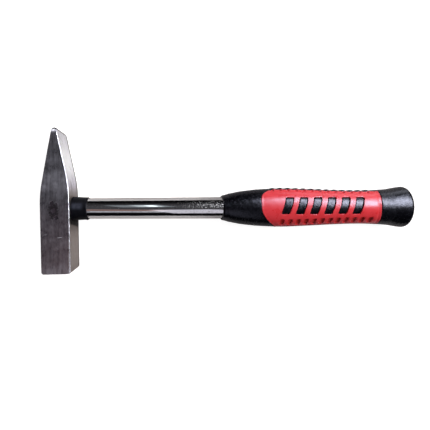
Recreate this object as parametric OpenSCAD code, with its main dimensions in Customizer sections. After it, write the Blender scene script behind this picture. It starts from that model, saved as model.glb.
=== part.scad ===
// Cross pein hammer with a steel tube handle and a two-part moulded grip.
// It lies on one cheek of the head. +X runs along the handle from the head to the
// end of the grip, +Y points to the pein, +Z is up. The origin is on the lower cheek,
// straight under the point where the handle axis crosses the middle of the head.

/* [Head] */
// Side of the square head section
head_w = 26; // [24:0.5:30]
// Distance from the handle axis to the striking face
face_reach = 58; // [50:1:70]
// Distance from the handle axis to the pein edge
pein_reach = 72.5; // [60:0.5:85]
// Thickness of the rounded pein edge
pein_t = 5; // [3:0.2:6]
// Offset of the pein edge towards the grip
pein_shift = 0.8; // [0:0.1:1.5]
// Bevel along the long edges
edge_bevel = 0.9; // [0.6:0.1:1.8]
// Bevel round the striking face
face_bevel = 1.6; // [0.8:0.1:2.4]
// Angle by which the head is set off square to the handle
head_cant = 1; // [0:0.5:2]

/* [Handle tube] */
// Outer diameter of the tube in the head
tube_d = 19; // [18:0.5:19.5]
// Outer diameter of the tube in the grip
tube_d2 = 19.9; // [19.5:0.1:20]
// Wall of the tube
tube_wall = 1.5; // [1.2:0.1:2.5]
// Distance from the head centre to the rear end of the tube
tube_reach = 308; // [302:1:310]
// Widening of the tube, on the radius, where the wedge spreads it
tube_flare = 0.8; // [0.4:0.1:1.2]
// Length over which the tube is spread
flare_len = 8; // [5:1:10]

/* [Collar] */
// Length of the rubber collar
collar_len = 14; // [8:1:20]
// Diameter at the head
collar_d1 = 21.8; // [21:0.1:24]
// Diameter at the tube end
collar_d2 = 20.8; // [20.5:0.1:23]

/* [Wedging] */
// Length of the hardwood dowel inside the tube
dowel_len = 42; // [25:1:60]
// Outer diameter of the ring wedge
wedge_d = 11; // [9:0.5:12]
// Wall of the ring wedge
wedge_wall = 1.6; // [1:0.1:2]
// Length of the ring wedge
wedge_len = 11; // [8:1:15]

/* [Grip] */
// Distance from the head centre to the front end of the grip
grip_start = 151; // [140:1:156]
// Thickness of the coloured cover
cover_t = 1.9; // [1.5:0.1:2.2]
// Depth of the marks' faces below the cover
mark_recess = 0.5; // [0.2:0.1:1]
// Number of slanted marks on each side
marks = 6; // [4:1:7]
// Width of a mark
mark_w = 7; // [4:0.5:8]
// Slant of the marks
mark_slant = 18; // [0:1:30]
// Number of ribs on the spine
ribs = 13; // [0:1:13]
// Spacing of the ribs
rib_pitch = 7.2; // [6:0.1:7.2]
// Height of a rib above the spine
rib_h = 0.6; // [0.3:0.1:0.9]
// Width of the spine strip across the top of the grip
spine_w = 9; // [6:0.5:12]

/* [Hidden] */
axis_z = head_w / 2;
half_w = head_w / 2;
tube_r = tube_d / 2;
tube_r2 = tube_d2 / 2;
bore_r = tube_r - tube_wall;
flange_t = 1.5;
gap = 0.05;
eps = 0.01;
cut = 2;

// Pein flanks: where each flank leaves the square body, and where its straight line starts
outer_flank = [[-half_w, 3], [-half_w, 14], [-half_w + 2.4, 25.5]];
inner_flank = [[half_w, 10], [half_w, 20.5], [half_w - 1.9, 31]];
flank_steps = 5;

// Grip sections: distance from the head, half height, half thickness
sections = [
    [grip_start, 11.6, 11.2],
    [grip_start + 5, 13.1, 11.9],
    [grip_start + 16, 15.2, 12.5],
    [grip_start + 31, 16.9, 12.8],
    [grip_start + 53, 17.8, 12.9],
    [grip_start + 76, 17.1, 12.8],
    [grip_start + 106, 15.8, 12.6],
    [grip_start + 128, 15.4, 12.6],
    [grip_start + 150, 16.5, 12.7],
    [grip_start + 165, 18.8, axis_z]
];
section_steps = 2;
sides = 32;
end_round = 3.4;
front_round = 1.2;

// Cover, seen from the side: both its ends bow towards the head, and the front one
// is blunter on the spine side
cover_x0 = grip_start + 32;
cover_x1 = grip_start + 138.3;
cover_bow0 = 14.5;
cover_bow1 = 3;
cover_y = 17;
cover_reach = cover_y + 3;
cover_step = 2.5;
spine_power = 5.5;
belly_power = 2;
mark_x0 = grip_start + 52;
mark_pitch = 12.6;
mark_len = 15;
mark_y = 1.6;
mark_r = 1.2;
rib_x0 = grip_start + 46;
rib_r = 3;
pockets = 12;
pocket_x0 = grip_start + 51.5;
pocket_y = 0.72;
pocket_r = 1.7;

function bezier(p, n) = [for (i = [0:n])
    let (t = i / n) p[0] * (1 - t) * (1 - t) + p[1] * 2 * t * (1 - t) + p[2] * t * t];

function reversed(list) = [for (i = [len(list) - 1:-1:0]) list[i]];

// A smooth curve through four neighbouring sections
function blend(a, b, c, d, t) = (b * 2 + (c - a) * t + (a * 2 - b * 5 + c * 4 - d) * t * t
    + (b * 3 - a - c * 3 + d) * t * t * t) / 2;

function section_at(i) = sections[max(0, min(len(sections) - 1, i))];

grip_curve = [for (i = [0:len(sections) - 2]) for (k = [0:section_steps - 1])
    blend(section_at(i - 1), section_at(i), section_at(i + 1), section_at(i + 2),
        k / section_steps)];

grip_end = section_at(len(sections));

// The rear edge of the grip is rounded
grip_tail = [for (a = [0:22.5:90])
    [grip_end[0] + end_round * sin(a), grip_end[1] - end_round * (1 - cos(a)),
        grip_end[2] - end_round * (1 - cos(a))]];

grip_rings = concat(
    [[grip_start - front_round, sections[0][1] - front_round, sections[0][2] - front_round]],
    grip_curve, grip_tail);

// How far the cover's front end has drawn back at a height from the handle axis
function front_bow(y) = cover_bow0 * pow(abs(y) / cover_y, y > 0 ? spine_power : belly_power);
function rear_bow(y) = cover_bow1 * pow(y / cover_y, 2);

// Half height and half thickness of the grip at a distance from the head
function grip_h(x) = lookup(x, [for (s = grip_rings) [s[0], s[1]]]);
function grip_t(x) = lookup(x, [for (s = grip_rings) [s[0], s[2]]]);

function ring(s, inset) = [for (k = [0:sides - 1])
    let (a = 360 * k / sides) [s[0], (s[1] - inset) * cos(a), (s[2] - inset) * sin(a)]];

// Body along X with an oval ring at each station
module oval_loft(stations, inset) {
    n = len(stations);
    points = [for (s = stations) each ring(s, inset)];
    walls = [for (i = [0:n - 2]) for (k = [0:sides - 1])
        [i * sides + k, (i + 1) * sides + k,
            (i + 1) * sides + (k + 1) % sides, i * sides + (k + 1) % sides]];
    front = [for (k = [0:sides - 1]) k];
    back = [for (k = [sides - 1:-1:0]) (n - 1) * sides + k];
    polyhedron(points, concat(walls, [front, back]), convexity = 4);
}

// Turned shape about the handle axis, from [distance from the head, radius] points
module turned(profile) {
    translate([0, 0, axis_z]) rotate([90, 0, 90])
        rotate_extrude($fn = 96) polygon([for (p = profile) [p[1], p[0]]]);
}

module head_outline() {
    tip_y = pein_reach - pein_t / 2;
    polygon(concat(
        [[-half_w + face_bevel, -face_reach], [-half_w, -face_reach + face_bevel]],
        bezier(outer_flank, flank_steps),
        [for (a = [168:-26:12])
            [pein_shift + pein_t / 2 * cos(a), tip_y + pein_t / 2 * sin(a)]],
        reversed(bezier(inner_flank, flank_steps)),
        [[half_w, -face_reach + face_bevel], [half_w - face_bevel, -face_reach]]));
}

// Square head that tapers to the pein, with bevelled edges
module head_form() {
    hull() {
        translate([0, 0, edge_bevel])
            linear_extrude(head_w - 2 * edge_bevel) head_outline();
        linear_extrude(head_w) offset(delta = -edge_bevel) head_outline();
    }
}

module head() {
    color("dimgray") difference() {
        rotate([0, 0, head_cant]) head_form();
        turned([[-head_w, 0], [-head_w, tube_r + tube_flare + gap],
            [-half_w, tube_r + tube_flare + gap], [-half_w + flare_len, tube_r + gap],
            [head_w, tube_r + gap], [head_w, 0]]);
    }
}

// Chromed tube, spread at the head end so that it can't pull out of the eye
module handle_tube() {
    x0 = -half_w + 0.5;
    x1 = -half_w + flare_len;
    grow = tube_flare * (x1 - x0) / flare_len;
    color("silver") turned([[x0, tube_r + grow], [x1, tube_r],
        [half_w + collar_len, tube_r], [grip_start - front_round, tube_r2],
        [tube_reach, tube_r2], [tube_reach, bore_r], [x1, bore_r], [x0, bore_r + grow]]);
}

// Hardwood dowel in the tube's head end, with the ring wedge's groove cut in it
module eye_dowel() {
    x0 = -half_w + 0.5;
    x1 = -half_w + flare_len;
    color("burlywood") difference() {
        turned([[x0, 0], [x0, bore_r + tube_flare * (x1 - x0) / flare_len - gap],
            [x1, bore_r - gap], [x0 + dowel_len - 2, bore_r - gap],
            [x0 + dowel_len, bore_r - gap - 1.5], [x0 + dowel_len, 0]]);
        wedge_form(gap);
    }
}

// Ring with an outer and inner taper, driven in flush with the dowel's end
module wedge_form(grow) {
    x0 = -half_w + 0.5;
    r0 = wedge_d / 2 + grow;
    ri = wedge_d / 2 - wedge_wall - grow;
    turned([[x0 - grow, ri], [x0 - grow, r0], [x0 + wedge_len + grow, r0 - wedge_wall + 0.4],
        [x0 + wedge_len + grow, ri]]);
}

module ring_wedge() {
    color("slategray") wedge_form(0);
}

// Black rubber collar that closes the joint between head and tube
module neck_collar() {
    x1 = half_w + collar_len;
    color([0.1, 0.1, 0.11]) difference() {
        turned([[half_w - 1, tube_r + gap], [half_w - 1, collar_d1 / 2],
            [half_w + 1, collar_d1 / 2], [x1 - 0.8, collar_d2 / 2],
            [x1, collar_d2 / 2 - 0.6], [x1, tube_r + gap]]);
        rotate([0, 0, head_cant])
            translate([-head_w, -head_w, -eps]) cube([head_w + half_w + gap, 2 * head_w, 2 * head_w]);
    }
}

// Moulded plug that closes the rear end of the tube
module tube_end_plug() {
    spigot = 14;
    color([0.15, 0.15, 0.16])
        turned([[tube_reach - spigot, 0], [tube_reach - spigot, bore_r - gap - 0.8],
            [tube_reach - spigot + 2, bore_r - gap], [tube_reach + gap, bore_r - gap],
            [tube_reach + gap, tube_r2], [tube_reach + flange_t, tube_r2],
            [tube_reach + flange_t, 0]]);
}

// Grip shape, made smaller all round by inset
module grip_form(inset) {
    translate([0, 0, axis_z]) oval_loft(grip_rings, inset);
}

// What the cover takes up, seen from the side, less the spine strip
module cover_zone(grow) {
    difference() {
        translate([0, 0, -cut]) linear_extrude(head_w + 2 * cut) polygon(concat(
            [for (y = [-cover_reach:cover_step:cover_reach])
                [cover_x0 + front_bow(y) - grow, y]],
            [for (y = [cover_reach:-cover_step:-cover_reach])
                [cover_x1 + rear_bow(y) + grow, y]]));
        translate([cover_x0 - cut, 0, axis_z - spine_w / 2 + grow])
            cube([cover_x1 - cover_x0 + cover_reach, 2 * cover_y, spine_w - 2 * grow]);
    }
}

// One slanted mark with rounded corners
module mark_outline(grow) {
    dy = mark_len / 2 - mark_r;
    dx = mark_w / 2 - mark_r;
    lean = dy * tan(mark_slant);
    hull() for (side = [-1, 1]) for (end = [-1, 1])
        translate([side * dx + end * lean, end * dy]) circle(mark_r + grow, $fn = 16);
}

// Row of marks, seen from the side and cut through both sides
module mark_zone(grow) {
    translate([0, 0, -cut]) linear_extrude(head_w + 2 * cut) for (i = [0:marks - 1])
        translate([mark_x0 + mark_pitch * i + mark_w / 2, mark_y]) mark_outline(grow);
}

// Row of shallow pockets low on both sides of the cover
module pocket_zone() {
    for (i = [0:pockets - 1]) for (side = [-1, 1]) {
        x = pocket_x0 + rib_pitch * i;
        y = -pocket_y * grip_h(x);
        z = grip_t(x) * sqrt(1 - pocket_y * pocket_y);
        translate([x, y, axis_z + side * z]) hull() for (end = [-1, 1])
            translate([0, end, 0]) sphere(pocket_r, $fn = 12);
    }
}

// Rounded rib across the spine
module spine_rib(x) {
    translate([x, grip_h(x) + rib_h - rib_r, axis_z]) hull() for (end = [-1, 1])
        translate([0, 0, end * (spine_w / 2 - rib_r / 2)])
            cylinder(r = rib_r, h = rib_r, center = true, $fn = 16);
}

// Black first shot: front taper, core under the cover, spine with ribs, rear flare
module grip_body() {
    color([0.11, 0.11, 0.12]) difference() {
        union() {
            difference() {
                grip_form(0);
                cover_zone(gap);
            }
            grip_form(cover_t + gap);
            intersection() {
                grip_form(mark_recess);
                mark_zone(0);
            }
            for (i = [0:1:ribs - 1]) spine_rib(rib_x0 + rib_pitch * i);
        }
        translate([grip_start - 2 * front_round, 0, axis_z]) rotate([0, 90, 0])
            cylinder(r = tube_r2 + gap, $fn = 48,
                h = tube_reach + flange_t + gap - grip_start + 2 * front_round);
    }
}

// Red second shot: wraps both sides and the belly, with openings for the marks
module grip_cover() {
    color([0.8, 0.16, 0.18]) difference() {
        intersection() {
            grip_form(0);
            cover_zone(0);
        }
        grip_form(cover_t);
        mark_zone(gap);
        pocket_zone();
    }
}

head();
handle_tube();
eye_dowel();
ring_wedge();
neck_collar();
tube_end_plug();
grip_body();
grip_cover();
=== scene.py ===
import math

import bmesh
import bpy
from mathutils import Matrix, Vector


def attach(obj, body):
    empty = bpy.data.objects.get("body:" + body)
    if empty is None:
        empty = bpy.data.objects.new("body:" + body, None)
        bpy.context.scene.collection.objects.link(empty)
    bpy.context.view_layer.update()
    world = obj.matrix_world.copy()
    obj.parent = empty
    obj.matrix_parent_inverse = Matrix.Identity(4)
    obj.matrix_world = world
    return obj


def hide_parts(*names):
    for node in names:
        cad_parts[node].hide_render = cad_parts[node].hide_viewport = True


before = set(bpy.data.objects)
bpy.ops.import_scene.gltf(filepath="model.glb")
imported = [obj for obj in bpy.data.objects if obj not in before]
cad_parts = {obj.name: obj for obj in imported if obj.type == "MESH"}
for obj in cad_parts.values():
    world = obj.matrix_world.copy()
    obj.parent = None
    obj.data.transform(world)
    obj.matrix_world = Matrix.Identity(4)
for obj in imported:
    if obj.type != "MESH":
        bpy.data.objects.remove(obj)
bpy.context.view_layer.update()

MM = 0.001

# ---------------------------------------------------------------- dimensions, in mm
# Head: square in section, X along the handle, Y towards the pein, Z up
HEAD_W = 26.0
HALF_W = HEAD_W / 2
AXIS_Z = HEAD_W / 2             # height of the handle's axis
FACE_REACH = 58.0               # from the handle's axis to the striking face
PEIN_REACH = 72.5               # and to the pein's end
PEIN_T = 5.0
PEIN_SHIFT = 0.8                # pein's middle, towards the handle
EDGE_R = 1.0                    # round of the widest long edges
LEFT_EDGE = 0.35                # share of it on the upper edges away from the handle
LOWER_EDGE = 0.55               # and on the lower edges
TIP_ROLL = 67.8                 # from here on the cheeks roll over to the pein's end
TIP_DROP = 0.12                 # share of the thickness lost there
FACE_BEVEL = 1.6
CANT = math.radians(1.0)        # how far the head is turned from square to the handle

# Tube, collar and plug
FIT = 0.05                      # gap between pieces that are pressed together
TUBE_R = 9.5
TUBE_R2 = 9.95                  # at the grip
TUBE_WALL = 1.5
TUBE_REACH = 308.0
TUBE_FLARE = 0.8                # how far the outer end is spread in the eye
FLARE_LEN = 8.0
COLLAR_END = HALF_W + 14.0
COLLAR_R1 = 10.9
COLLAR_R2 = 10.4
PLUG_END = 309.5

# Grip and its red cover
GRIP_START = 151.0
GRIP_TAIL = GRIP_START + 165.0
END_ROUND = 3.4
LIP = 1.2                       # rounded lip in front of the first section
COVER_X0 = GRIP_START + 32.0
COVER_X1 = GRIP_START + 138.3
COVER_BOW0 = 14.5               # how far the cover's ends bow back at its edges
COVER_BOW1 = 3.0
SPINE_POWER = 5.5               # the cover's front end is blunter on the spine side
COVER_Y = 17.0
COVER_T = 1.15
GRIP_T = 12.7                   # typical half thickness
SPINE_ANGLE = math.asin(4.5 / GRIP_T)    # half of the spine strip, seen from the end
PARTING_ANGLE = math.radians(158)        # mould parting line, from the spine

# Slanted marks, one row on each cheek
MARKS = 6
MARK_X0 = GRIP_START + 52.0
MARK_PITCH = 12.6
MARK_W = 7.0
MARK_LEN = 15.0
MARK_Y = 1.6
MARK_R = 1.2
MARK_SLANT = math.radians(18)
MARK_RECESS = 0.5
MARK_CROWN = 0.04

# Ribs across the spine, and the pockets low on each cheek
RIBS = 13
RIB_X0 = GRIP_START + 46.0
RIB_PITCH = 7.2
RIB_H = 0.6
RIB_HALF = 1.9
SCOOP_ANGLE = math.radians(28)
SCOOP_R = 2.1
POCKETS = 12
POCKET_X0 = GRIP_START + 51.5
POCKET_ANGLE = math.radians(139)
POCKET_STRETCH = 1.6            # their size round the grip over their size along it
POCKET_BAND = (math.radians(120), PARTING_ANGLE)

# Marks on the upper cheek: place, half length, half width, turn, depth
PUNCHES = [(-2.5, 4.6, 3.3, 2.5, math.radians(66), 0.60),
           (-0.6, -1.6, 3.6, 2.8, math.radians(66), 0.65),
           (1.3, -7.8, 3.3, 2.5, math.radians(66), 0.60)]
NICKS = [(4.7, -25.4, 3.0, 0.36, math.radians(2), 0.15),
         (-8.2, -22.6, 2.6, 0.26, math.radians(16), 0.11)]

# Grip sections: distance from its start, half height, half thickness
SECTIONS = [(0, 11.6, 11.2), (5, 13.1, 11.9), (16, 15.2, 12.5), (31, 16.9, 12.8),
            (53, 17.8, 12.9), (76, 17.1, 12.8), (106, 15.8, 12.6), (128, 15.4, 12.6),
            (150, 16.5, 12.7), (165, 18.8, 13.0)]


# ---------------------------------------------------------------- mesh helpers
def new_object(name, bm, sharp=math.radians(38)):
    """Object from a bmesh in mm, shaded smooth with edges above the angle kept sharp."""
    bmesh.ops.scale(bm, vec=(MM, MM, MM), verts=bm.verts)
    bm.normal_update()
    for face in bm.faces:
        face.smooth = True
    for edge in bm.edges:
        if len(edge.link_faces) == 2 and edge.calc_face_angle() > sharp:
            edge.smooth = False
    mesh = bpy.data.meshes.new(name)
    bm.to_mesh(mesh)
    bm.free()
    obj = bpy.data.objects.new(name, mesh)
    bpy.context.scene.collection.objects.link(obj)
    return obj


def add_grid(bm, rows, wrap=True):
    """Quads between rows of points. Returns the rows of vertices."""
    made = [[bm.verts.new(p) for p in row] for row in rows]
    for low, high in zip(made, made[1:]):
        count = len(low)
        for k in range(count if wrap else count - 1):
            n = (k + 1) % count
            bm.faces.new((low[k], high[k], high[n], low[n]))
    return made


def cap(bm, ring, flip=False):
    """One face across a ring."""
    bm.faces.new(ring[::-1] if flip else ring)


def fan(bm, ring, middle, flip=False):
    """Triangles from a ring to a point in its middle."""
    centre = bm.verts.new(middle)
    for k, here in enumerate(ring):
        pair = (here, ring[(k + 1) % len(ring)])
        bm.faces.new((*(pair[::-1] if flip else pair), centre))


def turn(steps):
    """Angles of a full turn."""
    return [2 * math.pi * k / steps for k in range(steps)]


def face_outwards(bm, start):
    """Turns the closed form made of the faces from index start on so that it faces out."""
    bm.faces.ensure_lookup_table()
    faces = bm.faces[start:]
    volume = 0.0
    for face in faces:
        first, *others = (v.co for v in face.verts)
        volume += sum(first.dot(a.cross(b)) for a, b in zip(others, others[1:]))
    if volume < 0:
        bmesh.ops.reverse_faces(bm, faces=faces)


def add_turned(bm, profile, steps, canted=0):
    """Closed ring turned about the handle axis from (distance from the head, radius) points.
    The first points of the profile, as many as canted, lie on the head's slanted side."""
    made = []
    for a in turn(steps):
        column = []
        for i, (x, r) in enumerate(profile):
            y = r * math.cos(a)
            if i < canted:
                x = (x - y * math.sin(CANT)) / math.cos(CANT)
            column.append(bm.verts.new((x, y, AXIS_Z + r * math.sin(a))))
        made.append(column)
    count = len(profile)
    for k, low in enumerate(made):
        high = made[(k + 1) % steps]
        for i in range(count):
            n = (i + 1) % count
            bm.faces.new((low[i], low[n], high[n], high[i]))
    return made


def rounded(points, size, steps=2):
    """Closed profile with its corners rounded."""
    result = []
    count = len(points)
    for i, p in enumerate(points):
        before, here, after = Vector(points[i - 1]), Vector(p), Vector(points[(i + 1) % count])
        back, ahead = before - here, after - here
        cut = min(size, back.length * 0.45, ahead.length * 0.45)
        start = here + back.normalized() * cut
        end = here + ahead.normalized() * cut
        for k in range(steps + 1):
            t = k / steps
            q = start * (1 - t) ** 2 + here * 2 * t * (1 - t) + end * t * t
            result.append((q.x, q.y))
    return result


def cut_with(obj, cutter):
    """Takes the cutter's volume out of obj and deletes the cutter."""
    mod = obj.modifiers.new("cut", "BOOLEAN")
    mod.operation = "DIFFERENCE"
    mod.solver = "EXACT"
    mod.object = cutter
    apply_modifiers(obj)
    bpy.data.objects.remove(cutter)


def apply_modifiers(obj):
    bpy.context.view_layer.update()
    evaluated = obj.evaluated_get(bpy.context.evaluated_depsgraph_get())
    mesh = bpy.data.meshes.new_from_object(evaluated)
    obj.modifiers.clear()
    obj.data = mesh


def resharpen(obj, sharp, flat_z=None):
    """Shades obj smooth again, with sharp edges above the angle. Faces that lie flat
    at the height flat_z, or at 0, are shaded flat."""
    bm = bmesh.new()
    bm.from_mesh(obj.data)
    bmesh.ops.remove_doubles(bm, verts=bm.verts, dist=1e-6)
    bmesh.ops.dissolve_degenerate(bm, edges=bm.edges, dist=1e-6)
    bmesh.ops.recalc_face_normals(bm, faces=bm.faces)
    bm.normal_update()
    for face in bm.faces:
        face.smooth = flat_z is None or not any(
            all(abs(v.co.z - level) < 1e-6 for v in face.verts) for level in (flat_z, 0.0))
    for edge in bm.edges:
        if len(edge.link_faces) == 2:
            edge.smooth = edge.calc_face_angle() < sharp
    bm.to_mesh(obj.data)
    bm.free()


def clamp(value, low=0.0, high=1.0):
    return max(low, min(high, value))


def smoothstep(low, high, x):
    t = clamp((x - low) / (high - low))
    return t * t * (3 - 2 * t)


def spread(low, high, count):
    """Values from low to high in count equal steps."""
    return [low + (high - low) * k / count for k in range(count + 1)]


# ---------------------------------------------------------------- grip surface
def section(i):
    """The section with this number, or the first or last one beyond them."""
    return SECTIONS[clamp(i, 0, len(SECTIONS) - 1)]


def grip_size(x):
    """Half height and half thickness at x, on a spline through the sections."""
    along = x - GRIP_START
    i = 0
    while i < len(SECTIONS) - 2 and along > SECTIONS[i + 1][0]:
        i += 1
    span = SECTIONS[i + 1][0] - SECTIONS[i][0]
    t = clamp((along - SECTIONS[i][0]) / span)
    sizes = []
    for k in (1, 2):
        a, b, c, d = (section(i + n)[k] for n in (-1, 0, 1, 2))
        sizes.append((b * 2 + (c - a) * t + (a * 2 - b * 5 + c * 4 - d) * t * t
                      + (b * 3 - a - c * 3 + d) * t ** 3) / 2)
    return sizes


def on_grip(x, angle, lift):
    """Point of the grip: angle 0 is the spine, 90 degrees the upper cheek."""
    h, t = grip_size(x)
    return (x, (h + lift) * math.cos(angle), AXIS_Z + (t + lift) * math.sin(angle))


def cover_edge(angle, start, bow, spine_power=2.0):
    """Where the cover's bowed end lies at this angle."""
    power = spine_power if math.cos(angle) > 0 else 2.0
    x = start
    for _ in range(8):
        y = grip_size(x)[0] * math.cos(angle)
        x = start + bow * (abs(y) / COVER_Y) ** power
    return x


def cover_front(angle):
    return cover_edge(angle, COVER_X0, COVER_BOW0, SPINE_POWER)


def cover_rear(angle):
    return cover_edge(angle, COVER_X1, COVER_BOW1)


def rib(x):
    """Height of the ribs across the spine at x, from 0 to 1."""
    i = round((x - RIB_X0) / RIB_PITCH)
    if not 0 <= i < RIBS:
        return 0.0
    off = abs(x - RIB_X0 - i * RIB_PITCH) / RIB_HALF
    return max(0.0, 1 - off * off) ** 0.8


# ---------------------------------------------------------------- head
def head_outline():
    """Side view, anticlockwise from the striking face, in steps of about a millimetre."""
    def bezier(p, n=14):
        return [tuple(p[0][c] * (1 - t) ** 2 + p[1][c] * 2 * t * (1 - t) + p[2][c] * t * t
                      for c in (0, 1)) for t in spread(0, 1, n)]

    tip_y = PEIN_REACH - PEIN_T / 2
    arc = [(PEIN_SHIFT + PEIN_T / 2 * math.cos(math.radians(a)),
            tip_y + PEIN_T / 2 * math.sin(math.radians(a))) for a in range(12, 169, 12)]
    corners = ([(-HALF_W + FACE_BEVEL, -FACE_REACH), (HALF_W - FACE_BEVEL, -FACE_REACH),
                (HALF_W, -FACE_REACH + FACE_BEVEL)]
               + bezier([(HALF_W, 10), (HALF_W, 20.5), (HALF_W - 1.9, 31)])
               + arc
               + bezier([(-HALF_W + 2.4, 25.5), (-HALF_W, 14), (-HALF_W, 3)])
               + [(-HALF_W, -FACE_REACH + FACE_BEVEL)])
    outline = []
    for i, p in enumerate(corners):
        q = corners[(i + 1) % len(corners)]
        steps = max(1, round(math.dist(p, q)))
        outline += [(p[0] + (q[0] - p[0]) * k / steps, p[1] + (q[1] - p[1]) * k / steps)
                    for k in range(steps)]
    return outline


def inset_outline(outline, amounts):
    """Outline moved inwards, by its own amount at each point."""
    result = []
    count = len(outline)
    for i, (p, amount) in enumerate(zip(outline, amounts)):
        a = Vector(outline[i - 1])
        b = Vector(outline[(i + 1) % count])
        here = Vector(p)
        e1, e2 = (here - a).normalized(), (b - here).normalized()
        n1, n2 = Vector((-e1.y, e1.x)), Vector((-e2.y, e2.x))
        mid = (n1 + n2).normalized()
        q = here + mid * amount / max(0.4, mid.dot(n1))
        result.append((q.x, q.y))
    return result


def side_of(outline, i):
    """How far the outline faces the handle at this point, from -1 to 1."""
    a, b = outline[i - 1], outline[(i + 1) % len(outline)]
    return (b[1] - a[1]) / max(1e-6, math.dist(a, b))


def edge_sizes(outline):
    """Size of the hand-ground upper and lower edges at each point of the outline. It
    wanders a little, and the upper edge is widest above the handle."""
    wander = [1 + 0.10 * math.sin(0.9 * y + x) + 0.10 * math.sin(2.3 * y + 1.7 * x)
              for x, y in outline]
    upper = [w * (LEFT_EDGE + (1 - LEFT_EDGE) * smoothstep(-0.5, 0.6, side_of(outline, i)))
             for i, w in enumerate(wander)]
    return upper, [w * LOWER_EDGE for w in wander]


def roll_tip_and_cant(bm):
    """Rolls the cheeks over at the pein's end, and turns the head on the handle."""
    for y in spread(TIP_ROLL, PEIN_REACH - 0.7, 7):
        bmesh.ops.bisect_plane(bm, geom=bm.verts[:] + bm.edges[:] + bm.faces[:], dist=1e-5,
                               plane_co=(0, y, 0), plane_no=(0, 1, 0))
    for v in bm.verts:
        x, y = v.co.x, v.co.y
        over = max(0.0, (y - TIP_ROLL) / (PEIN_REACH - TIP_ROLL))
        v.co.z = AXIS_Z + (v.co.z - AXIS_Z) * (1 - TIP_DROP * over ** 1.4)
        v.co.x = x * math.cos(CANT) - y * math.sin(CANT)
        v.co.y = x * math.sin(CANT) + y * math.cos(CANT)


def make_head():
    """Head: its outline drawn up from cheek to cheek with rounded edges, then cut."""
    outline = head_outline()
    upper, lower = edge_sizes(outline)
    rows = []
    arc = [math.radians(a) for a in (90, 72, 54, 36, 18, 0)]
    profile = ([(EDGE_R + 0.45, 0.0)]
               + [(EDGE_R * (1 - math.cos(a)), EDGE_R * (1 - math.sin(a))) for a in arc]
               + [(0.0, EDGE_R + 0.5)])
    for inset, depth in profile:
        ring = inset_outline(outline, [inset * w for w in upper])
        rows.append([(x, y, HEAD_W - depth * w) for (x, y), w in zip(ring, upper)])
    for z in (HEAD_W * 0.66, HEAD_W * 0.34):
        rows.append([(x, y, z) for x, y in outline])
    for inset, depth in reversed(profile):
        ring = inset_outline(outline, [inset * w for w in lower])
        rows.append([(x, y, depth * w) for (x, y), w in zip(ring, lower)])
    bm = bmesh.new()
    made = add_grid(bm, [row[::-1] for row in rows])
    cap(bm, made[0], flip=True)
    cap(bm, made[-1])
    bmesh.ops.recalc_face_normals(bm, faces=bm.faces)
    roll_tip_and_cant(bm)
    head = new_object("hammer_head", bm)
    cut_with(head, make_eye_cutter())
    cut_with(head, make_punch_cutter())
    resharpen(head, math.radians(35), flat_z=HEAD_W * MM)
    return head


def make_eye_cutter():
    """Eye: spread at the outer side, with a small lead-in round its rim."""
    r = TUBE_R + FIT
    wide = r + TUBE_FLARE
    rim = wide + 0.55
    past = 20                   # beyond both sides of the head
    profile = [(-past, rim), (-HALF_W - 0.15, rim), (-HALF_W + 0.6, wide),
               (-HALF_W + FLARE_LEN, r), (past, r)]
    bm = bmesh.new()
    made = add_grid(bm, [[(x, radius * math.cos(a), AXIS_Z + radius * math.sin(a))
                          for a in turn(96)] for x, radius in profile])
    cap(bm, made[0])
    cap(bm, made[-1], flip=True)
    bmesh.ops.recalc_face_normals(bm, faces=bm.faces)
    return new_object("eye_cutter", bm)


def make_punch_cutter():
    """Plain diamond punch marks and two nicks on the upper cheek."""
    bm = bmesh.new()
    above = 0.1
    for x, y, long, wide, angle, deep in PUNCHES + NICKS:
        start = len(bm.faces)
        c, s = math.cos(angle), math.sin(angle)
        grow = 1 + above / deep
        top = [bm.verts.new((x + grow * (dx * c - dy * s), y + grow * (dx * s + dy * c),
                             HEAD_W + above))
               for dx, dy in ((long, 0), (0, wide), (-long, 0), (0, -wide))]
        fan(bm, top, (x, y, HEAD_W - deep))
        cap(bm, top, flip=True)
        face_outwards(bm, start)
    return new_object("punch_cutter", bm)


# ---------------------------------------------------------------- tube and collar
def make_tube():
    """Chromed tube: spread at its outer end, then widening a little to the grip."""
    x0 = -HALF_W + 0.5
    x1 = -HALF_W + FLARE_LEN
    grow = TUBE_FLARE * (x1 - x0) / FLARE_LEN
    inner = TUBE_R - TUBE_WALL
    outside = [(x0, TUBE_R + grow), (x1 - 2.5, TUBE_R + 0.12), (x1 + 1, TUBE_R),
               (COLLAR_END, TUBE_R), (GRIP_START - LIP, TUBE_R2), (TUBE_REACH, TUBE_R2)]
    inside = [(TUBE_REACH, inner), (x1, inner), (x0, inner + grow)]
    bm = bmesh.new()
    add_turned(bm, rounded(outside + inside, 0.3), 160)
    bmesh.ops.recalc_face_normals(bm, faces=bm.faces)
    return new_object("handle_tube_detailed", bm)


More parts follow.
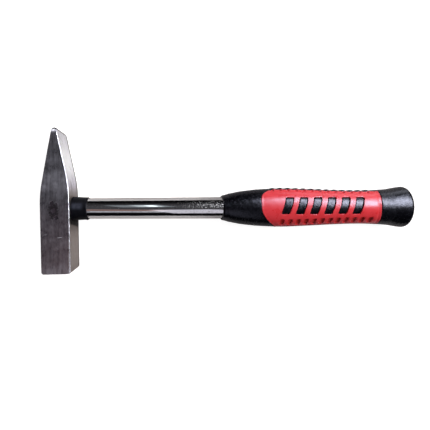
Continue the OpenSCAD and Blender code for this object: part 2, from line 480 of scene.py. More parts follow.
def make_collar():
    """Rubber ring with a rolled rear edge and the stub of its moulding gate."""
    base = HALF_W + FIT
    bore = TUBE_R + FIT
    profile = [(base, bore), (base, COLLAR_R1 + 0.1), (base + 0.5, COLLAR_R1 + 0.1),
               (base + 0.9, COLLAR_R1), (base + 2.5, COLLAR_R1 - 0.04),
               (base + 7, COLLAR_R1 - 0.25), (COLLAR_END - 1.6, COLLAR_R2 + 0.05),
               (COLLAR_END - 0.9, COLLAR_R2 + 0.1), (COLLAR_END - 0.1, COLLAR_R2 - 0.1),
               (COLLAR_END, COLLAR_R2 - 0.55), (COLLAR_END, bore)]
    bm = bmesh.new()
    add_turned(bm, rounded(profile, 0.25), 120, canted=6)
    bmesh.ops.recalc_face_normals(bm, faces=bm.faces)
    for v in bm.verts:
        if v.co.y < 0 and math.hypot(v.co.y, v.co.z - AXIS_Z) > COLLAR_R2 - 0.4:
            near = math.exp(-((v.co.x - COLLAR_END + 0.8) / 0.9) ** 2)
            side = math.exp(-((v.co.z - AXIS_Z - 3.0) / 1.4) ** 2)
            v.co.y -= 0.7 * near * side
    return new_object("neck_collar_detailed", bm)


# ---------------------------------------------------------------- grip
def mark_outline(grow):
    """Outline of one slanted mark about its centre, anticlockwise."""
    steps = 8                   # in each rounded corner
    dy = MARK_LEN / 2 - MARK_R
    dx = MARK_W / 2 - MARK_R
    lean = dy * math.tan(MARK_SLANT)
    points = []
    for cx, cy, a0 in ((dx + lean, dy, 0), (-dx + lean, dy, 90),
                       (-dx - lean, -dy, 180), (dx - lean, -dy, 270)):
        for k in range(steps + 1):
            a = math.radians(a0 + 90 * k / steps)
            points.append((cx + (MARK_R + grow) * math.cos(a),
                           cy + (MARK_R + grow) * math.sin(a)))
    # Straight sides are divided so that they follow the round of the grip
    divided = []
    for i, p in enumerate(points):
        q = points[(i + 1) % len(points)]
        n = max(1, round(math.dist(p, q) / 1.2))
        divided += [(p[0] + (q[0] - p[0]) * k / n, p[1] + (q[1] - p[1]) * k / n)
                    for k in range(n)]
    return divided


def flat_to_grip(x, y, side, lift):
    """Point above a place seen from the side, on the upper (1) or lower (-1) cheek."""
    h = grip_size(x)[0]
    return on_grip(x, side * math.acos(clamp(y / h, -0.98, 0.98)), lift)


def mark_centres():
    return [(MARK_X0 + MARK_PITCH * i + MARK_W / 2, MARK_Y) for i in range(MARKS)]


def mark_rows(cx, cy, side, lift, outline, scales=(1.0,)):
    """Rings over the grip for one mark: the outline at each of the scales."""
    return [[flat_to_grip(cx + x * scale, cy + y * scale, side, lift) for x, y in outline]
            for scale in scales]


def add_mark(bm, cx, cy, side):
    """Raised black mark: side walls, rounded edge and a slightly crowned face."""
    start = len(bm.faces)
    crown = -MARK_RECESS + MARK_CROWN
    rows = []
    for grow, lift in ((0.0, -1.7), (0.0, -0.8), (-0.1, -MARK_RECESS - 0.1),
                       (-0.3, -MARK_RECESS)):
        rows += mark_rows(cx, cy, side, lift, mark_outline(grow))
    rows += mark_rows(cx, cy, side, crown, mark_outline(-0.3), (0.8, 0.6, 0.4, 0.2))
    made = add_grid(bm, rows)
    fan(bm, made[-1], flat_to_grip(cx, cy, side, crown), flip=True)
    cap(bm, made[0])
    face_outwards(bm, start)


def add_window_cutter(bm, cx, cy, side):
    """Opening for one mark; both its ends are domed like the grip."""
    start = len(bm.faces)
    floor, top = -2.2, 0.7
    outline = mark_outline(0.35)
    rows = mark_rows(cx, cy, side, floor, outline, (0.25, 0.5, 0.75))
    for grow, lift in ((0.35, floor), (0.3, -0.45), (0.34, -0.12), (0.46, 0.0), (1.0, 0.6)):
        rows += mark_rows(cx, cy, side, lift, mark_outline(grow))
    rows += mark_rows(cx, cy, side, top, outline, (0.75, 0.5, 0.25))
    made = add_grid(bm, rows)
    fan(bm, made[0], flat_to_grip(cx, cy, side, floor))
    fan(bm, made[-1], flat_to_grip(cx, cy, side, top), flip=True)
    face_outwards(bm, start)


def add_pocket_cutter(bm, x, side):
    """Rounded square dish low on the cover, with a gentle ramp on its belly side."""
    start = len(bm.faces)
    h, t = grip_size(x)
    per_mm = 1 / math.hypot(h * math.sin(POCKET_ANGLE), t * math.cos(POCKET_ANGLE))
    rows = []
    for half, lift, shift in ((1.1, -1.0, -0.9), (1.7, -0.94, -0.5), (1.95, -0.5, -0.15),
                              (2.15, 0.0, 0.0), (2.5, 0.7, 0.0)):
        row = []
        for a in turn(28):
            c, s = math.cos(a), math.sin(a)
            square = half / (abs(c) ** 5 + abs(s) ** 5) ** 0.2
            arc = POCKET_STRETCH * square * s + shift
            row.append(on_grip(x + square * c, side * (POCKET_ANGLE + arc * per_mm), lift))
        rows.append(row)
    made = add_grid(bm, rows)
    cap(bm, made[0])
    cap(bm, made[-1], flip=True)
    face_outwards(bm, start)


def add_scoop_cutter(bm, x, side):
    """Thumbnail-shaped scoop at the edge of the spine strip."""
    centre = Vector(on_grip(x, side * SCOOP_ANGLE, 1.15))
    ball = bmesh.ops.create_icosphere(bm, subdivisions=3, radius=SCOOP_R)
    for v in ball["verts"]:
        v.co = centre + Vector((v.co.x * 1.25, v.co.y, v.co.z))


def cover_relief(x, from_front, from_back, from_spine, angle):
    """How far the cover stands out at x; distances to its edges in mm."""
    # Turned-up rim along both ends, doubled at the rear
    lift = 0.16 * (1 - smoothstep(0.8, 1.3, from_front))
    lift += 0.12 * (1 - smoothstep(0.7, 1.1, from_back))
    lift -= 0.24 * math.exp(-((from_back - 2.5) / 0.5) ** 2)
    # Scallops where the ribs run out from the spine
    lift += 0.42 * rib(x) * (1 - smoothstep(0.6, 2.6, from_spine))
    clear_of_ends = smoothstep(3, 8, from_front) * smoothstep(8, 12, from_back)
    lift -= 0.10 * (1 - rib(x)) * (1 - smoothstep(0.3, 1.6, from_spine)) * clear_of_ends
    # Mould parting line low on each cheek
    from_line = abs(angle - PARTING_ANGLE) * GRIP_T
    lift += 0.13 * math.exp(-(from_line / 0.38) ** 2)
    # Softened outer edges
    for distance in (from_front, from_back, from_spine):
        if distance < 0.45:
            lift -= 0.30 * (1 - distance / 0.45) ** 2
    return lift


def make_cover():
    """Red second shot: both cheeks and the belly, with windows and pockets."""
    arc_steps = 100
    length_steps = 170
    fractions = ([0.0, 0.0012, 0.004] + [k / length_steps for k in range(1, length_steps)]
                 + [0.996, 0.9988, 1.0])
    arcs = ([0.0, 0.0018, 0.006] + [k / arc_steps for k in range(1, arc_steps)]
            + [0.994, 0.9982, 1.0])
    girth = 82                  # mm round the cover from one edge of the spine to the other
    gap = 0.08                  # left between the cover's ends and the body
    start = SPINE_ANGLE + 0.005
    limits = []
    for g in arcs:
        angle = start + g * (2 * math.pi - 2 * start)
        limits.append((g, angle, cover_front(angle) + gap, cover_rear(angle) - gap))

    def surface(depth, relief):
        rows = []
        for f in fractions:
            row = []
            for g, angle, low, high in limits:
                x = low + f * (high - low)
                fold = angle if angle < math.pi else 2 * math.pi - angle
                from_spine = min(g, 1 - g) * girth
                lift = -depth
                if relief:
                    lift += cover_relief(x, x - low, high - x, from_spine, fold)
                row.append(on_grip(x, angle, lift))
            rows.append(row)
        return rows

    bm = bmesh.new()
    outer = add_grid(bm, surface(0.0, True), wrap=False)
    inner = add_grid(bm, surface(COVER_T, False), wrap=False)
    rim_out, rim_in = (rows[0] + [r[-1] for r in rows[1:-1]] + rows[-1][::-1]
                       + [r[0] for r in rows[-2:0:-1]] for rows in (outer, inner))
    for k in range(len(rim_out)):
        n = (k + 1) % len(rim_out)
        bm.faces.new((rim_out[k], rim_out[n], rim_in[n], rim_in[k]))
    bmesh.ops.recalc_face_normals(bm, faces=bm.faces)
    cover = new_object("grip_cover_detailed", bm)
    cutter = bmesh.new()
    for side in (1, -1):
        for cx, cy in mark_centres():
            add_window_cutter(cutter, cx, cy, side)
        for i in range(POCKETS):
            add_pocket_cutter(cutter, POCKET_X0 + RIB_PITCH * i, side)
        for i in range(RIBS):
            add_scoop_cutter(cutter, RIB_X0 + RIB_PITCH * (i - 0.35), side)
    cut_with(cover, new_object("window_cutter", cutter))
    resharpen(cover, math.radians(42))
    mark_pockets(cover)
    return cover


def mark_pockets(obj):
    """Face attribute "pocket": how deep a face lies in the rows of pockets, 0 to 1. It drives
    the painted shade there.
    """
    shade = obj.data.attributes.new("pocket", "FLOAT", "FACE")
    for face in obj.data.polygons:
        x, y, z = face.center / MM
        h, t = grip_size(x)
        round_at = math.hypot(y / h, (z - AXIS_Z) / t)
        deep = (1 - round_at) * t
        angle = math.acos(clamp(y / h / round_at, -1.0, 1.0))
        if POCKET_BAND[0] < angle < POCKET_BAND[1] and deep < COVER_T - 0.07:
            shade.data[face.index].value = smoothstep(0.05, 0.5, deep)


def make_grip_body():
    """Black first shot: taper, core, ribbed spine, flare and butt."""
    depth = COVER_T + FIT
    strip_steps = 12
    side_steps = 88

    # Angles round the grip, each with how far inside the cover's zone it is
    edge = SPINE_ANGLE
    strip = [(edge * k / strip_steps, 0.0) for k in range(-strip_steps + 1, strip_steps)]
    wall = [(edge - 0.02, 0.04), (edge - 0.006, 0.15), (edge, 1.0)]
    around = [(edge + 0.01 + (2 * math.pi - 2 * edge - 0.02) * k / side_steps, 1.0)
              for k in range(side_steps + 1)]
    angles = (strip[strip_steps - 1:] + wall + around
              + [(2 * math.pi - a, w) for a, w in reversed(wall)]
              + [(2 * math.pi + a, w) for a, w in strip[:strip_steps - 1]])
    ends = [(cover_front(a), cover_rear(a)) for a, _ in angles]

    def column(place):
        """Ring at a station. place is (zone, fraction, inside)."""
        zone, f, inside = place
        row = []
        for (angle, within), (front, rear) in zip(angles, ends):
            x = place_x(zone, f, front, rear)
            lift = -depth * min(inside, within)
            off = min(angle, 2 * math.pi - angle) / SPINE_ANGLE
            if within < 1:
                lift += RIB_H * rib(x) * (1 - within) * (1 - smoothstep(0.88, 1.02, off))
            row.append(on_grip(x, angle, lift))
        return row

    def place_x(zone, f, front, rear):
        if zone == "front":
            return GRIP_START + LIP + f * (front - GRIP_START - LIP)
        if zone == "cover":
            return front + f * (rear - front)
        return rear + f * (GRIP_TAIL - rear)

    places = [("front", f, 0.0) for f in spread(0, 0.985, 44)]
    places += [("front", 0.993, 0.05), ("front", 0.998, 0.2), ("cover", 0.0, 1.0)]
    places += [("cover", f, 1.0) for f in spread(0.004, 0.996, 168)]
    places += [("cover", 1.0, 1.0), ("rear", 0.006, 0.2), ("rear", 0.02, 0.05)]
    places += [("rear", f, 0.0) for f in spread(0.045, 1.0, 26)]
    columns = [column(p) for p in places]
    ring_angles = [math.atan2((p[2] - AXIS_Z) / grip_size(p[0])[1], p[1] / grip_size(p[0])[0])
                   for p in columns[0]]

    h, t = grip_size(GRIP_TAIL)
    tail_angles = [math.atan2((p[2] - AXIS_Z) / t, p[1] / h) for p in columns[-1]]
    bm = bmesh.new()
    made = add_grid(bm, lip_rows(ring_angles) + columns + butt_rows(tail_angles))
    cap(bm, made[0])
    cap(bm, made[-1], flip=True)
    face_outwards(bm, 0)
    for side in (1, -1):
        for cx, cy in mark_centres():
            add_mark(bm, cx, cy, side)
    return new_object("grip_body_detailed", bm, math.radians(42))


def oval(x, h, t, angles):
    """Ring across the handle axis with the half height h and half thickness t."""
    return [(x, h * math.cos(a), AXIS_Z + t * math.sin(a)) for a in angles]


def lip_rows(angles):
    """Rings from the end of the bore to the first section: bore, narrow land, round corner."""
    h, t = grip_size(GRIP_START)
    bore = TUBE_R2 + FIT
    inner_end = PLUG_END + 0.1
    rings = [(inner_end, 0.5, 0.5), (inner_end, bore, bore), (GRIP_START + 0.5, bore, bore),
             (GRIP_START - 0.1, bore + 0.3, bore + 0.3),
             (GRIP_START - 1.1, bore + 0.75, bore + 0.7),
             (GRIP_START - LIP, h - 1.0, t - 0.9), (GRIP_START - 1.0, h - 0.55, t - 0.5),
             (GRIP_START - 0.5, h - 0.12, t - 0.1), (GRIP_START, h + 0.12, t + 0.1)]
    return [oval(*ring, angles) for ring in rings]


def butt_rows(angles):
    """Rings from the last section on: round corner, then a shallow dish."""
    h, t = grip_size(GRIP_TAIL)
    end = GRIP_TAIL + END_ROUND
    corner = [math.radians(a) for a in (15, 30, 45, 60, 75, 88)]
    insets = [(GRIP_TAIL + END_ROUND * math.sin(a), END_ROUND * (1 - math.cos(a)))
              for a in corner]
    insets += [(end, 4.2), (end - 0.15, 4.7), (end - 0.7, 5.1), (end - 0.8, 5.6),
               (end - 0.85, 8.5), (end - 0.85, 11.4)]
    return [oval(x, h - inset, t - inset, angles) for x, inset in insets]


# ---------------------------------------------------------------- materials
class Finish:
    """Small builder for one node material round a Principled shader. Places on the object
    are in mm, and scales of noise in cells a metre."""

    def __init__(self, name, **sockets):
        self.material = bpy.data.materials.new(name)
        self.material.use_nodes = True
        self.tree = self.material.node_tree
        self.shader = self.tree.nodes["Principled BSDF"]
        for socket, value in sockets.items():
            self.shader.inputs[socket.replace("_", " ")].default_value = value
        self.place = self.tree.nodes.new("ShaderNodeTexCoord").outputs["Object"]
        split = self.node("SeparateXYZ", {0: self.place})
        self.x, self.y, self.z = (split.outputs[axis] for axis in "XYZ")

    def node(self, kind, inputs=(), **settings):
        made = self.tree.nodes.new("ShaderNode" + kind)
        for key, value in settings.items():
            setattr(made, key, value)
        for key, value in dict(inputs).items():
            if isinstance(value, bpy.types.NodeSocket):
                self.tree.links.new(value, made.inputs[key])
            else:
                made.inputs[key].default_value = value
        return made

    def noise(self, scale, detail=3.0, roughness=0.5):
        scale = scale if isinstance(scale, tuple) else (scale,) * 3
        place = self.node("Mapping", {"Vector": self.place, "Scale": scale}).outputs[0]
        return self.node("TexNoise", {"Vector": place, "Scale": 1.0, "Detail": detail,
                                      "Roughness": roughness}).outputs["Fac"]

    def math(self, operation, a, b=0.0, clamped=False):
        return self.node("Math", {0: a, 1: b}, operation=operation,
                         use_clamp=clamped).outputs[0]

    def add(self, first, *others, clamped=False):
        """Sum of all the values."""
        for k, other in enumerate(others, 1):
            first = self.math("ADD", first, other, clamped and k == len(others))
        return first

    def times(self, first, *others):
        """Product of all the values."""
        for other in others:
            first = self.math("MULTIPLY", first, other)
        return first

    def remap(self, value, low, high, to_low=0.0, to_high=1.0, smooth=False):
        """Value carried from one range to the other, and held at its ends."""
        kind = "SMOOTHSTEP" if smooth else "LINEAR"
        return self.node("MapRange", {0: value, 1: low, 2: high, 3: to_low, 4: to_high},
                         interpolation_type=kind).outputs[0]

    def fade(self, axis, start, end, to_low=0.0, to_high=1.0):
        """Soft change from to_low to to_high between two places on an axis."""
        return self.remap(axis, start * MM, end * MM, to_low, to_high, smooth=True)

    def step(self, axis, start, end):
        """Straight change from 0 to 1 between two places on an axis."""
        return self.remap(axis, start * MM, end * MM)

    def past(self, axis, place):
        return self.math("SUBTRACT", axis, place * MM)

    def off(self, axis, place=0.0):
        """Distance from a place on an axis."""
        return self.math("ABSOLUTE", self.past(axis, place))

    def mix(self, factor, a, b):
        made = self.node("Mix", {0: factor}, data_type="RGBA")
        for index, value in ((6, a), (7, b)):
            if isinstance(value, bpy.types.NodeSocket):
                self.tree.links.new(value, made.inputs[index])
            else:
                made.inputs[index].default_value = (*value, 1)
        return made.outputs[2]

    def bump(self, height, strength, distance):
        return self.node("Bump", {"Height": height, "Strength": strength,
                                  "Distance": distance}).outputs[0]

    def link(self, socket, value):
        self.tree.links.new(value, self.shader.inputs[socket])


def steel_finish():
    """Ground steel, streaked along the head."""
    f = Finish("ground_steel", Metallic=1.0)
    streaks = f.noise((520, 42, 300), 5, 0.62)
    fine = f.noise((2600, 300, 1500), 3, 0.6)
    blotch = f.noise(150, 5, 0.7)
    # Coarser grinding where the taper runs out of the square body, and near the face. The first
    # band is also lighter in colour, a painted reflection of a lamp above the head.
    grinding_and_sheen = f.add(f.times(f.fade(f.y, 10, 19), f.fade(f.y, 38, 26), 0.10),
                   f.times(f.fade(f.y, -44, -56), 0.12))
    tone = f.add(f.times(streaks, 0.7), f.times(fine, 0.45), f.times(blotch, 0.4), grinding_and_sheen)
    warm = f.fade(f.y, 12, -12)
    dark_steel = f.mix(warm, (0.28, 0.273, 0.308), (0.275, 0.236, 0.282))
    pale_steel = f.mix(warm, (0.78, 0.765, 0.84), (0.74, 0.695, 0.76))
    colour = f.mix(f.remap(tone, 0.60, 0.98), dark_steel, pale_steel)
    colour, dull_and_shaded = steel_sides(f, colour, tone)
    colour, marked = steel_marks(f, colour)
    f.link("Base Color", colour)
    f.link("Roughness", f.add(f.times(fine, 0.14), f.times(blotch, 0.34),
                              f.times(grinding_and_sheen, 0.7), 0.08, f.times(marked, 0.4),
                              f.times(dull_and_shaded, 0.10), clamped=True))
    relief = f.add(f.times(streaks, 0.6), f.times(fine, 0.3), f.times(blotch, 0.7))
    f.link("Normal", f.bump(relief, 0.4, 0.0001))
    return f.material


def steel_sides(f, colour, tone):
    """Sides of the head, under its upper cheek. Returns the colour, and where the side is duller
    and painted darker.
    """
    # The square body is duller beside the handle, and its darker colour there is partly painted
    # shade of the shaded floor it mirrors; the pein's slope is polished
    side = f.times(f.fade(f.x, HALF_W - 1.8, HALF_W - 0.8),
                   f.fade(f.z, HEAD_W - 0.4, HEAD_W - 0.9))
    dull_and_shaded = f.times(side, f.fade(f.y, 24, 9))
    colour = f.mix(dull_and_shaded, colour, (0.285, 0.248, 0.230))
    slope = f.times(f.fade(f.z, HEAD_W - 0.5, HEAD_W - 1.0), f.fade(f.y, 21, 38),
                    f.fade(f.y, 48, 64, 0.95, 0.52),
                    f.remap(tone, 0.55, 0.80, 0.84, 1.0, smooth=True))
    colour = f.mix(slope, colour, (0.93, 0.945, 0.965))
    # Dark end of the pein
    colour = f.mix(f.step(f.y, 70.0, 70.5), colour, (0.13, 0.13, 0.135))
    # Long edge above the handle, worn bright in places
    worn = f.times(f.step(f.x, HALF_W - 1.1, HALF_W - 0.9),
                   f.step(f.z, HEAD_W - 0.6, HEAD_W - 0.3),
                   f.remap(f.noise(900, 3), 0.44, 0.56, 0.15, 1.0, smooth=True))
    colour = f.mix(worn, colour, (0.96, 0.96, 0.98))
    # Painted shadow under the collar: a dark patch with a slanted lower end
    collar_shadow_paint = f.times(f.fade(f.add(f.y, f.times(f.z, -0.20)), -19.6, -17.2),
                   f.step(f.y, -4, -6), f.step(f.z, HEAD_W - 1, HEAD_W - 2), side)
    colour = f.mix(collar_shadow_paint, colour, (0.010, 0.008, 0.008))
    # Painted shade along the lower edge on the handle's side, where it mirrors the dark floor
    # next to it
    rim = f.times(f.step(f.z, 4.0, 2.6), f.step(f.z, 0.1, 0.3), f.step(f.x, 0, 1), 0.9)
    return f.mix(rim, colour, (0.12, 0.12, 0.125)), dull_and_shaded


def steel_marks(f, colour):
    """Scale and grime in and round the punch marks, bare metal in the nicks.
    Returns the colour, and where the cheek is marked."""
    middle = -1.9               # of the punch marks, along the head
    on_cheek = f.fade(f.z, HEAD_W - 1.0, HEAD_W - 0.7)
    scale = f.times(f.fade(f.z, HEAD_W - 0.02, HEAD_W - 0.12), on_cheek,
                    f.step(f.off(f.x), 8.8, 8.4), f.step(f.off(f.y, middle), 10.6, 10.2))
    colour = f.mix(scale, colour, (0.045, 0.038, 0.045))
    across = f.times(f.past(f.x, -0.8), 190)
    along = f.times(f.past(f.y, middle), 105)
    spot = f.add(f.times(across, across), f.times(along, along),
                 f.times(f.noise(900, 4, 0.7), 3.2))
    grime = f.times(f.remap(spot, 2.6, 1.8, 0.0, 0.9, smooth=True), on_cheek)
    colour = f.mix(grime, colour, (0.085, 0.068, 0.082))
    nick = f.times(f.step(f.z, HEAD_W, HEAD_W - 0.04), f.step(f.z, HEAD_W - 0.4, HEAD_W - 0.2),
                   f.step(f.y, -19, -20), f.step(f.y, -28, -27), f.step(f.off(f.x), 11.4, 11.2))
    return f.mix(nick, colour, (0.72, 0.70, 0.73)), f.add(scale, nick)


def chrome_finish():
    """Bright chrome with fine pits, and dust on it near the grip."""
    f = Finish("chrome_plating", Metallic=1.0, Specular_Tint=(0.62, 0.595, 0.565, 1))
    cloud = f.noise((30, 120, 120), 2)
    speck = f.add(f.noise((900, 1500, 1500), 2), f.fade(f.x, 85, 125, 0.0, 0.07))
    pits = f.remap(speck, 0.66, 0.72, smooth=True)
    dust = f.times(f.remap(f.noise((1700, 2300, 2300), 2), 0.57, 0.66, smooth=True),
                   f.fade(f.x, 98, 138, 0.0, 0.85), f.fade(f.off(f.y, 3.0), 4.2, 2.0))
    colour = f.mix(cloud, (0.60, 0.60, 0.61), (0.66, 0.66, 0.67))
    colour = f.mix(pits, colour, (0.24, 0.22, 0.21))
    f.link("Base Color", f.mix(dust, colour, (0.93, 0.92, 0.91)))
    f.link("Roughness", f.add(f.remap(cloud, 0.3, 0.7, 0.035, 0.08), f.times(pits, 0.25),
                              f.times(dust, 0.45), clamped=True))
    drawn = f.noise((25, 900, 900), 2)
    f.link("Normal", f.bump(f.add(drawn, f.times(cloud, 2.0)), 0.05, 0.00006))
    return f.material


def rubber_finish(name, dark, light, low, high, mottle, shine=0.3, paints_highlight=False):
    """Black moulded rubber with fine grain, between two colours and two roughnesses.
    mottle is the scale of its uneven sheen, and the flag at its end adds a painted highlight on
    the collar, a paler bluish patch."""
    f = Finish(name, Specular_IOR_Level=shine, Specular_Tint=(0.78, 0.80, 0.98, 1))
    grain = f.noise(2300, 3, 0.6)
    patch = f.noise(mottle, 4, 0.62)
    broad = f.noise(45, 2)
    colour = f.mix(f.remap(patch, 0.35, 0.7), dark, light)
    # Painted highlight: a paler bluish patch on the collar where a lamp's reflection would fall
    if paints_highlight:
        painted_highlight = f.times(f.fade(f.off(f.x, 18.5), 7.0, 2.0), f.fade(f.off(f.y, 2.2), 4.2, 0.6),
                        f.remap(patch, 0.3, 0.6, 0.5, 1.0))
        colour = f.mix(painted_highlight, colour, (0.040, 0.042, 0.056))
    f.link("Base Color", colour)
    # The flare behind the cover is a little more matt
    matt = f.times(f.step(f.x, 284, 286), f.fade(f.x, 307, 298, 0.0, 0.05))
    f.link("Roughness", f.add(f.remap(patch, 0.32, 0.68, low, high), f.times(broad, 0.06),
                              matt, clamped=True))
    relief = f.add(f.times(grain, 0.25), f.times(patch, 0.8))
    f.link("Normal", f.bump(relief, 0.5, 0.0003))
    return f.material


def red_finish():
    """Red moulding, with painted shade that darkens it in its pockets."""
    f = Finish("red_moulding", Specular_IOR_Level=0.52, Specular_Tint=(0.56, 0.78, 0.96, 1))
    grain = f.noise(2600, 3, 0.6)
    patch = f.noise(160, 3, 0.55)
    tone = f.add(f.times(patch, 0.6), f.times(f.noise(40, 2), 0.4))
    colour = f.mix(f.remap(tone, 0.35, 0.65), (0.60, 0.030, 0.035), (0.66, 0.037, 0.044))
    # Painted shade: faces deeper in the pockets are darker
    deep = f.node("Attribute", attribute_name="pocket").outputs["Fac"]
    f.link("Base Color", f.mix(deep, colour, (0.46, 0.019, 0.015)))
    f.link("Roughness", f.remap(patch, 0.3, 0.7, 0.24, 0.36))
    relief = f.add(f.times(grain, 0.3), f.times(patch, 0.5))
    f.link("Normal", f.bump(relief, 0.2, 0.00015))
    return f.material


def wood_finish():
    """Hardwood dowel: rings across its end, fibres along it."""
    f = Finish("dowel_wood")
    pith = (0.0, 0.011, -0.004)
    out = f.node("VectorMath", {0: f.place, 1: pith}, operation="SUBTRACT")
    flat = f.node("VectorMath", {0: out.outputs[0], 1: (0.0, 1.0, 1.0)}, operation="MULTIPLY")
    radius = f.node("VectorMath", {0: flat.outputs[0]}, operation="LENGTH").outputs["Value"]
    rings = f.math("SINE", f.add(f.times(radius, 5200), f.times(f.noise(60, 2), 5.0)))
    rings = f.add(f.times(rings, 0.5), 0.5)
    fibre = f.noise((60, 2400, 2400), 3)
    tone = f.add(f.times(rings, 0.55), f.times(fibre, 0.45))
    f.link("Base Color", f.mix(tone, (0.50, 0.31, 0.15), (0.27, 0.145, 0.06)))
    f.link("Roughness", f.remap(fibre, 0.3, 0.7, 0.5, 0.72))
    f.link("Normal", f.bump(f.add(fibre, f.times(rings, 0.5)), 0.4, 0.0001))
    return f.material


def wedge_finish():
    """Turned mild steel."""
    f = Finish("wedge_steel", Metallic=1.0)
    grain = f.noise((400, 1600, 1600), 4)
    f.link("Base Color", f.mix(f.noise(300, 3), (0.42, 0.41, 0.42), (0.60, 0.58, 0.57)))
    f.link("Roughness", f.remap(grain, 0.3, 0.7, 0.30, 0.5))
    f.link("Normal", f.bump(grain, 0.3, 0.00008))
    return f.material


def floor_finish():
    """Pale floor. It shows as white paper, and what it throws on the object is warmer. Its
    colour holds a painted shadow of the object: paler at a distance from the handle and darker
    under the grip."""
    f = Finish("pale_floor", Roughness=0.9, Specular_IOR_Level=0.0)
    paper = f.mix(f.noise(3, 2), (0.595, 0.545, 0.50), (0.615, 0.565, 0.52))
    # Painted shadow: darker paper near the handle and under the grip
    paper = f.mix(f.fade(f.off(f.y), 14, 36), paper, (0.73, 0.685, 0.64))
    f.link("Base Color", f.mix(f.fade(f.x, -30, 20), paper, (0.34, 0.315, 0.30)))
    seen = f.node("LightPath").outputs["Is Camera Ray"]
    f.link("Emission Color", f.mix(seen, (1.0, 0.96, 0.93), (1.0, 1.0, 1.0)))
    f.link("Emission Strength", f.remap(seen, 0, 1, 0.03, 0.95))
    return f.material


# ---------------------------------------------------------------- camera
# Straight down, and off centre: the object lies left of the middle of the view
SENSOR_MM = 36.0
LENS_MM = 22.0672
camera_data = bpy.data.cameras.new("camera")
camera_data.sensor_width = SENSOR_MM
camera_data.lens = LENS_MM
camera_data.shift_x = 0.12326
camera_data.shift_y = -0.02791
camera_data.clip_start = 0.01
camera_data.clip_end = 50.0
camera = bpy.data.objects.new("camera", camera_data)
camera.location = (0.09487, 0.00471, 0.25834)
camera.rotation_euler = (0.0, 0.0, math.radians(-0.291))
bpy.context.scene.collection.objects.link(camera)
bpy.context.scene.camera = camera

# ---------------------------------------------------------------- pieces
pieces = [
    (make_head(), "head", "forged_steel", steel_finish()),
    (make_tube(), "handle_tube", "chrome_tube", chrome_finish()),
    (make_collar(), "neck_collar", "collar_rubber",
     rubber_finish("collar_rubber", (0.0022, 0.0022, 0.0030), (0.0045, 0.0045, 0.0060),
                   0.42, 0.55, 260, 0.15, paints_highlight=True)),
    (make_cover(), "grip_cover", "grip_red", red_finish()),
    (make_grip_body(), "grip_body", "grip_black",
     rubber_finish("grip_black", (0.0008, 0.0008, 0.0014), (0.0022, 0.0022, 0.0034),
                   0.14, 0.29, 420, 0.36)),
]
for piece, node, slot, finish in pieces:
    piece.data.materials.clear()
    piece.data.materials.append(finish)
    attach(piece, "root")
    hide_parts(node)

# Pieces that stay as the CAD model has them
carried = [
    ("eye_dowel", wood_finish()),
    ("ring_wedge", wedge_finish()),
    ("tube_end_plug",
     rubber_finish("plug_plastic", (0.012, 0.012, 0.013), (0.02, 0.02, 0.022), 0.4, 0.5, 300)),
]
for node, finish in carried:
    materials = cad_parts[node].data.materials
    if len(materials) == 0:
        materials.append(finish)
    for k in range(len(materials)):
        materials[k] = finish

# ---------------------------------------------------------------- floor, light, world
FLOOR_HALF = 6000               # half of its width, in mm
FLOOR_DROP = 0.0002             # keeps it clear of the cheek that lies on it
bm = bmesh.new()
bmesh.ops.create_grid(bm, x_segments=24, y_segments=24, size=FLOOR_HALF)
floor = new_object("floor", bm)
floor.location = (0.15, 0.0, -FLOOR_DROP)
floor.data.materials.append(floor_finish())

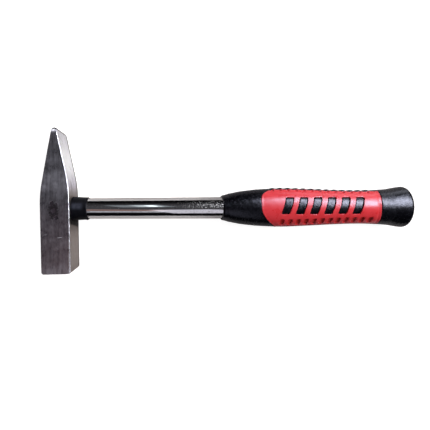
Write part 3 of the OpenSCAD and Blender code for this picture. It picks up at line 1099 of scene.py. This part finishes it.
# Soft boxes: name, place, what it faces, width, depth, power, colour
LIGHTS = [
    ("key", (0.83, 0.38, 0.73), (0.22, 0.0, 0.0), 0.66, 0.32, 16.8, (0.92, 0.94, 1.0)),
    # Three in one another make the streak on the tube fade out at its ends
    ("top_core", (0.035, 0.44, 1.0), (0.08, 0.0, 0.0), 0.05, 0.30, 0.07, (0.88, 0.97, 1.0)),
    ("top_middle", (0.015, 0.44, 1.005), (0.08, 0.0, 0.0), 0.13, 0.40, 0.09, (0.86, 0.96, 1.0)),
    ("top_halo", (-0.02, 0.44, 1.01), (0.08, 0.0, 0.0), 0.28, 0.46, 0.10, (0.80, 0.92, 1.0)),
    # Bands along the tube's lower side
    ("window_far", (-0.09, -0.68, 0.85), (0.06, 0.0, 0.0), 0.38, 0.12, 0.18, (0.94, 0.93, 1.0)),
    ("window_near", (0.255, -0.62, 0.82), (0.12, 0.0, 0.0), 0.34, 0.78, 0.72, (0.92, 0.90, 1.0)),
    ("warm_wall", (-0.10, -0.36, 0.95), (0.06, 0.0, 0.0), 0.44, 0.22, 0.10, (1.0, 0.60, 0.52)),
    # Bright spot on the pein's end, and the edges that face the grip
    ("tip_glow", (-0.26, 0.53, 0.34), (0.0, 0.07, 0.026), 0.11, 0.14, 0.45, (0.95, 0.97, 1.0)),
    ("rim", (0.85, 0.90, 0.22), (0.24, 0.0, 0.02), 0.50, 0.30, 1.3, (0.95, 0.97, 1.0)),
]


def softbox(name, place, aim, width, depth, power, colour):
    data = bpy.data.lights.new(name, "AREA")
    data.shape = "RECTANGLE"
    data.size, data.size_y = width, depth
    data.energy = power
    data.color = colour
    light = bpy.data.objects.new(name, data)
    light.location = place
    toward = Vector(aim) - Vector(place)
    light.rotation_euler = toward.to_track_quat("-Z", "Y").to_euler()
    bpy.context.scene.collection.objects.link(light)


def make_world():
    """Dim room, lighter overhead. The camera itself sees it as a pale backdrop."""
    world = bpy.data.worlds.new("studio")
    world.use_nodes = True
    nodes, links = world.node_tree.nodes, world.node_tree.links
    split = nodes.new("ShaderNodeSeparateXYZ")
    links.new(nodes.new("ShaderNodeTexCoord").outputs["Generated"], split.inputs[0])
    ramp = nodes.new("ShaderNodeValToRGB")
    low, high = ramp.color_ramp.elements
    low.position, low.color = 0.45, (0.003, 0.003, 0.0035, 1)
    high.position, high.color = 0.95, (0.074, 0.072, 0.078, 1)
    links.new(split.outputs["Z"], ramp.inputs[0])
    backdrop = nodes.new("ShaderNodeMix")
    backdrop.data_type = "RGBA"
    backdrop.inputs[7].default_value = (0.94, 0.94, 0.94, 1)
    links.new(nodes.new("ShaderNodeLightPath").outputs["Is Camera Ray"], backdrop.inputs[0])
    links.new(ramp.outputs[0], backdrop.inputs[6])
    links.new(backdrop.outputs[2], nodes["Background"].inputs["Color"])
    return world


for light in LIGHTS:
    softbox(*light)
bpy.context.scene.world = make_world()
bpy.context.scene.view_settings.view_transform = "Standard"
